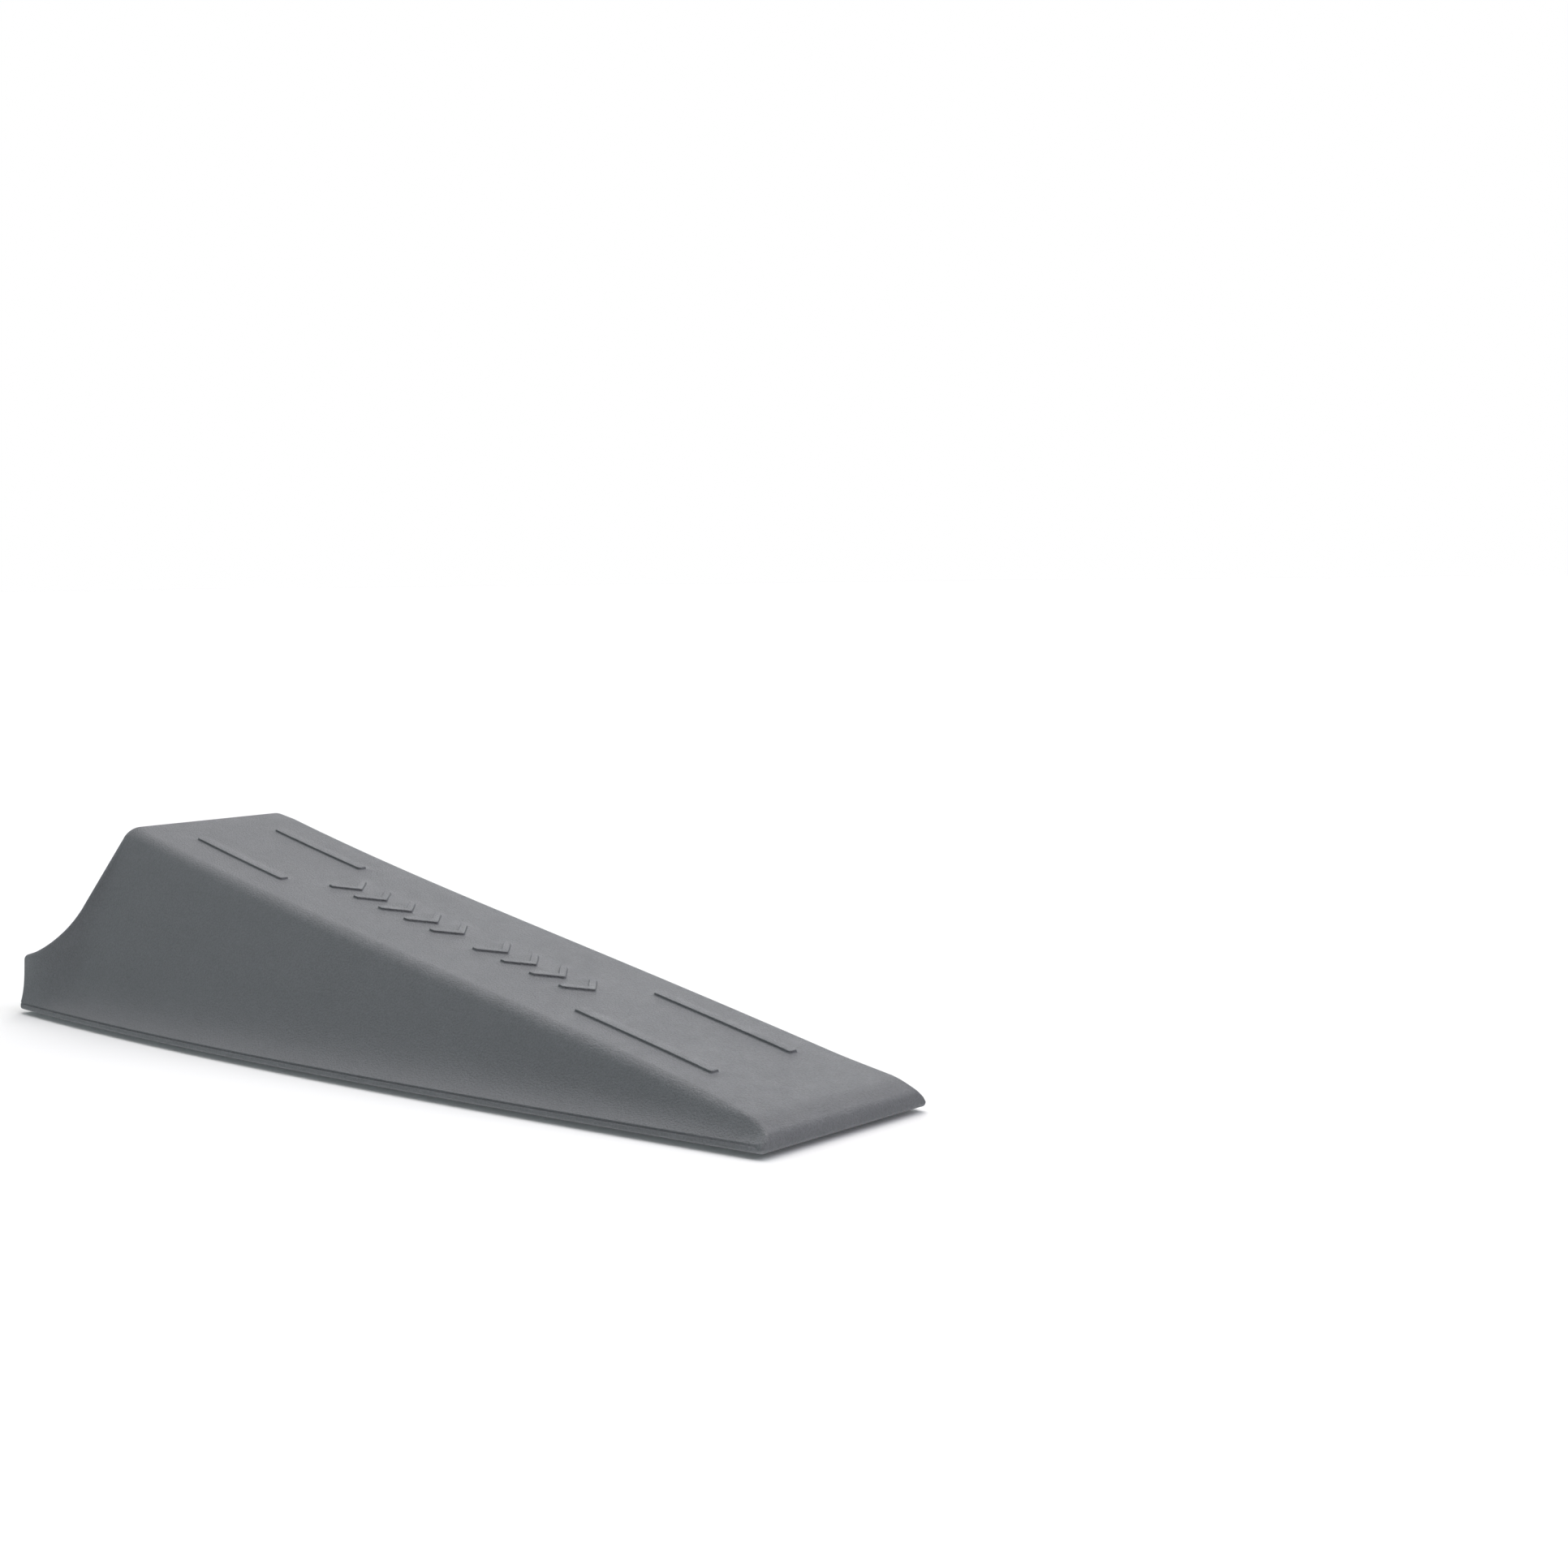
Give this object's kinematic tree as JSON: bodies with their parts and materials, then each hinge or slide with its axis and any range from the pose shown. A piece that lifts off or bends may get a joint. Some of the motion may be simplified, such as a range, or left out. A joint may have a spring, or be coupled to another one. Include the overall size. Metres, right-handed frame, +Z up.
{
  "type": "door stop wedge",
  "caption": "Moulded rubber door wedge with a sloped top, raised grip bars and arrows, flared sides and a scooped heel.",
  "frame": {"origin": "centre of the bounding box at floor level, on the underside of the base", "axes": "+X along the length towards the thin toe, Y across the width, +Z up from the floor"},
  "size_m": [0.1222, 0.0458, 0.023],
  "materials": {
    "wedge_rubber": "matt moulded grey rubber with a fine grain"
  },
  "bodies": {
    "root": {"wedge_body": "wedge_rubber"}
  },
  "joints": []
}
